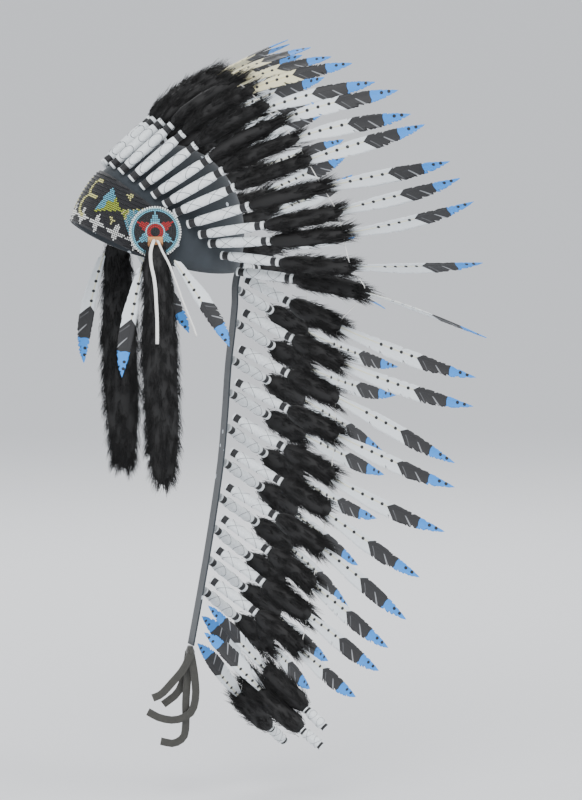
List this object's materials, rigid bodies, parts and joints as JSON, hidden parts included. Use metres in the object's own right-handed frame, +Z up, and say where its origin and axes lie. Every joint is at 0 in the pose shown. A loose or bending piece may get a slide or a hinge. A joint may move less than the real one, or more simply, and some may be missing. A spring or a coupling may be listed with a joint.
{
  "type": "feathered headdress",
  "caption": "Feathered war bonnet: cloth cap, beaded browband, crown and long double trail of wrapped, dotted feathers with black fluffs, temple rosettes, fur drops.",
  "frame": {"origin": "the middle of the head opening, where a head fills the cap", "axes": "+Z up as worn and along the longest side, the wearer faces -X, the wearer's left is at -Y"},
  "size_m": [0.4536, 0.5728, 0.865],
  "materials": {
    "wrapped_feather": "white cloth-wrapped quill, black down fluff, white feather with black and blue tip",
    "cap_cloth": "dark slate woven cloth",
    "browband_beads": "black cloth sewn with rows of glass beads",
    "rosette_beads": "rings of glossy glass beads on leather",
    "temple_fur": "deep black fur with two dotted feathers",
    "white_lace": "soft white leather lace",
    "dark_ribbon": "dark olive grey ribbon"
  },
  "bodies": {
    "root": {"browband": "browband_beads", "cap": "cap_cloth", "crown_feather_front": "wrapped_feather", "crown_feather_left_1": "wrapped_feather", "crown_feather_left_10": "wrapped_feather", "crown_feather_left_11": "wrapped_feather", "crown_feather_left_12": "wrapped_feather", "crown_feather_left_2": "wrapped_feather", "crown_feather_left_3": "wrapped_feather", "crown_feather_left_4": "wrapped_feather", "crown_feather_left_5": "wrapped_feather", "crown_feather_left_6": "wrapped_feather", "crown_feather_left_7": "wrapped_feather", "crown_feather_left_8": "wrapped_feather", "crown_feather_left_9": "wrapped_feather", "crown_feather_right_1": "wrapped_feather", "crown_feather_right_10": "wrapped_feather", "crown_feather_right_11": "wrapped_feather", "crown_feather_right_12": "wrapped_feather", "crown_feather_right_2": "wrapped_feather", "crown_feather_right_3": "wrapped_feather", "crown_feather_right_4": "wrapped_feather", "crown_feather_right_5": "wrapped_feather", "crown_feather_right_6": "wrapped_feather", "crown_feather_right_7": "wrapped_feather", "crown_feather_right_8": "wrapped_feather", "crown_feather_right_9": "wrapped_feather", "lace_left_back": "white_lace", "lace_left_front": "white_lace", "lace_right_front": "white_lace", "ribbon_tie": "dark_ribbon", "rosette_left": "rosette_beads", "rosette_right": "rosette_beads", "temple_drop_left": "temple_fur", "temple_drop_right": "temple_fur", "trail_feather_left_1": "wrapped_feather", "trail_feather_left_10": "wrapped_feather", "trail_feather_left_11": "wrapped_feather", "trail_feather_left_12": "wrapped_feather", "trail_feather_left_2": "wrapped_feather", "trail_feather_left_3": "wrapped_feather", "trail_feather_left_4": "wrapped_feather", "trail_feather_left_5": "wrapped_feather", "trail_feather_left_6": "wrapped_feather", "trail_feather_left_7": "wrapped_feather", "trail_feather_left_8": "wrapped_feather", "trail_feather_left_9": "wrapped_feather", "trail_feather_right_1": "wrapped_feather", "trail_feather_right_10": "wrapped_feather", "trail_feather_right_11": "wrapped_feather", "trail_feather_right_12": "wrapped_feather", "trail_feather_right_2": "wrapped_feather", "trail_feather_right_3": "wrapped_feather", "trail_feather_right_4": "wrapped_feather", "trail_feather_right_5": "wrapped_feather", "trail_feather_right_6": "wrapped_feather", "trail_feather_right_7": "wrapped_feather", "trail_feather_right_8": "wrapped_feather", "trail_feather_right_9": "wrapped_feather", "trail_strip": "cap_cloth"}
  },
  "joints": []
}
